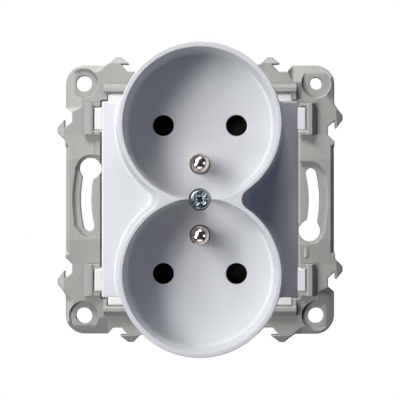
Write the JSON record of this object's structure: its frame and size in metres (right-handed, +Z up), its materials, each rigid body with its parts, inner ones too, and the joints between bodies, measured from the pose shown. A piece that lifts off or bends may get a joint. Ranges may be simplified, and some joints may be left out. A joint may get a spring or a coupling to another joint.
{
  "type": "double earth-pin socket mechanism",
  "caption": "Flush double wall socket with two round bowls joined in one cover, male earth pins, pin shutters and screw terminals, clipped in a square mounting frame with curved box slots",
  "frame": {"origin": "centre of the mounting frame's back face, on the wall's surface", "axes": "-Y out of the wall towards the user, +Z up, +X to the right as seen from the front; +Y into the wall box"},
  "size_m": [0.075, 0.0455, 0.0818],
  "materials": {
    "frame_plastic": "fine satin moulded plastic, warm light grey",
    "cover_plastic": "smooth semi-gloss thermoplastic, cool white",
    "base_plastic": "matt moulded plastic, light grey",
    "shutter_plastic": "matt black moulded plastic",
    "spring_steel": "drawn spring wire",
    "brass": "bare rolled strip, stamped",
    "nickel": "nickel plating, lightly worn",
    "zinc": "bright zinc plating"
  },
  "bodies": {
    "housing": {"mounting_frame": "frame_plastic", "socket_cover": "cover_plastic", "bowl_floors": "cover_plastic", "contact_base": "base_plastic", "contact_cover": "base_plastic", "upper_shutter_springs": "spring_steel", "lower_shutter_springs": "spring_steel", "live_busbar": "brass", "live_upper_contact": "brass", "live_lower_contact": "brass", "live_rivets": "nickel", "neutral_busbar": "brass", "neutral_upper_contact": "brass", "neutral_lower_contact": "brass", "neutral_rivets": "nickel", "earth_strap": "brass", "upper_earth_pin": "nickel", "lower_earth_pin": "nickel", "centre_nut": "brass"},
    "upper_shutter": {"upper_shutter": "shutter_plastic"},
    "lower_shutter": {"lower_shutter": "shutter_plastic"},
    "live_clamp": {"live_clamp_plate": "nickel"},
    "live_screw": {"live_terminal_screw": "zinc"},
    "neutral_clamp": {"neutral_clamp_plate": "nickel"},
    "neutral_screw": {"neutral_terminal_screw": "zinc"},
    "earth_clamp": {"earth_clamp_plate": "nickel"},
    "earth_screw": {"earth_terminal_screw": "zinc"},
    "centre_screw": {"centre_screw": "zinc"}
  },
  "joints": [
    {"name": "upper_shutter_slide", "type": "slide", "parent": "housing", "child": "upper_shutter", "axis": [0, 0, -1], "range_m": [0, 0.006], "stiffness_N_per_m": 150, "springref_m": -0.002, "deforming": ["upper_shutter_springs"]},
    {"name": "lower_shutter_slide", "type": "slide", "parent": "housing", "child": "lower_shutter", "axis": [0, 0, 1], "range_m": [0, 0.006], "stiffness_N_per_m": 150, "springref_m": -0.002, "deforming": ["lower_shutter_springs"]},
    {"name": "live_clamp_slide", "type": "slide", "parent": "housing", "child": "live_clamp", "axis": [1, 0, 0], "range_m": [0, 0.0024]},
    {"name": "live_screw_turn", "type": "hinge", "parent": "live_clamp", "child": "live_screw", "pos_m": [-0.0165, 0.011, 0], "axis": [1, 0, 0], "range_deg": [0, 1441]},
    {"name": "neutral_clamp_slide", "type": "slide", "parent": "housing", "child": "neutral_clamp", "axis": [-1, 0, 0], "range_m": [0, 0.0024]},
    {"name": "neutral_screw_turn", "type": "hinge", "parent": "neutral_clamp", "child": "neutral_screw", "pos_m": [0.0165, 0.011, 0], "axis": [-1, 0, 0], "range_deg": [0, 1441]},
    {"name": "earth_clamp_slide", "type": "slide", "parent": "housing", "child": "earth_clamp", "axis": [0, 0, -1], "range_m": [0, 0.0024]},
    {"name": "earth_screw_turn", "type": "hinge", "parent": "earth_clamp", "child": "earth_screw", "pos_m": [0, 0.011, 0.0165], "axis": [0, 0, -1], "range_deg": [0, 1441]},
    {"name": "centre_screw_turn", "type": "hinge", "parent": "housing", "child": "centre_screw", "pos_m": [0, 0, 0], "axis": [0, 1, 0], "range_deg": [-1080, 0]}
  ],
  "couplings": [
    {"joint": "live_screw_turn", "follows": "live_clamp_slide", "rad_per_m": 10472},
    {"joint": "neutral_screw_turn", "follows": "neutral_clamp_slide", "rad_per_m": 10472},
    {"joint": "earth_screw_turn", "follows": "earth_clamp_slide", "rad_per_m": 10472}
  ]
}
